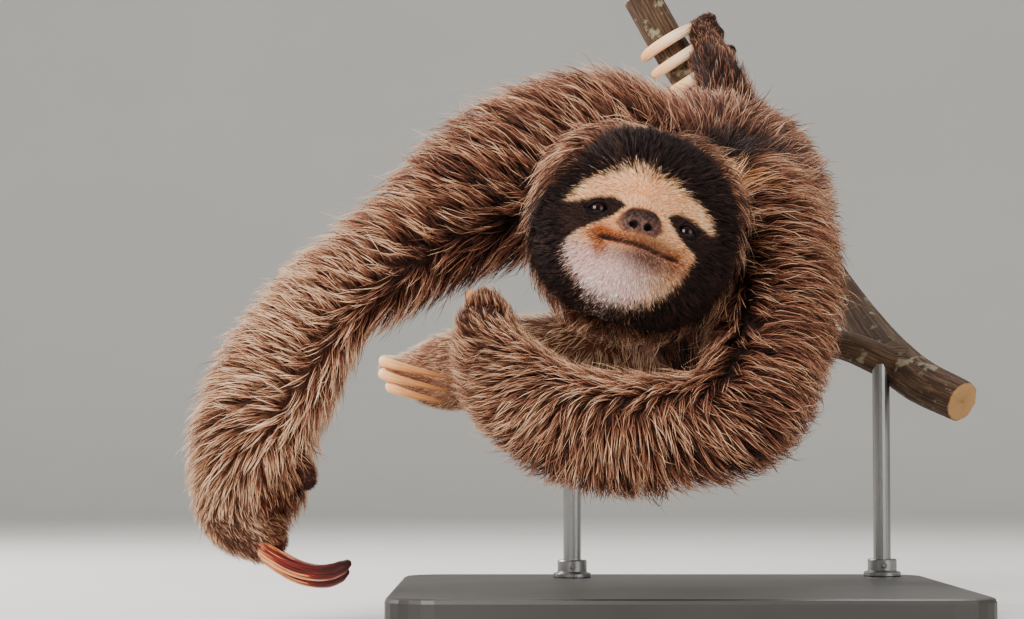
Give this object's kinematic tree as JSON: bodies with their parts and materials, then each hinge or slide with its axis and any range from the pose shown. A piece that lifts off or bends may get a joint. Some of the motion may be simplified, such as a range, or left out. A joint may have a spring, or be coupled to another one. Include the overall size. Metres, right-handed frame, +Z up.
{
  "type": "three-toed sloth",
  "caption": "Life-size still three-toed sloth on a short forked branch, one long arm reaching out and down, held by rods on a flat base.",
  "frame": {"origin": "centre of the underside of the display base, on the surface it stands on", "axes": "+Z up, -Y the side the face looks to, +X the animal's left side as it faces -Y"},
  "size_m": [0.5034, 0.5423, 0.4461],
  "materials": {
    "body_fur": "long coarse hair",
    "face_fur": "short soft hair",
    "eye": "wet gloss",
    "claw_horn": "satin horn",
    "bark": "bark",
    "base_paint": "satin paint",
    "rod_steel": "brushed"
  },
  "bodies": {
    "root": {"head": "face_fur", "neck": "body_fur", "trunk": "body_fur", "tail": "body_fur", "upper_arm_right": "body_fur", "forearm_right": "body_fur", "hand_right": "body_fur", "upper_arm_left": "body_fur", "forearm_left": "body_fur", "hand_left": "body_fur", "thigh_right": "body_fur", "shin_right": "body_fur", "foot_right": "body_fur", "thigh_left": "body_fur", "shin_left": "body_fur", "foot_left": "body_fur", "eye_right": "eye", "eye_left": "eye", "perch_branch": "bark", "stand_base": "base_paint", "stand_rod_left": "rod_steel", "stand_rod_right": "rod_steel", "claw_hand_right_1": "claw_horn", "claw_hand_right_2": "claw_horn", "claw_hand_right_3": "claw_horn", "claw_hand_left_1": "claw_horn", "claw_hand_left_2": "claw_horn", "claw_hand_left_3": "claw_horn", "claw_foot_right_1": "claw_horn", "claw_foot_right_2": "claw_horn", "claw_foot_right_3": "claw_horn", "claw_foot_left_1": "claw_horn", "claw_foot_left_2": "claw_horn", "claw_foot_left_3": "claw_horn"}
  },
  "joints": []
}
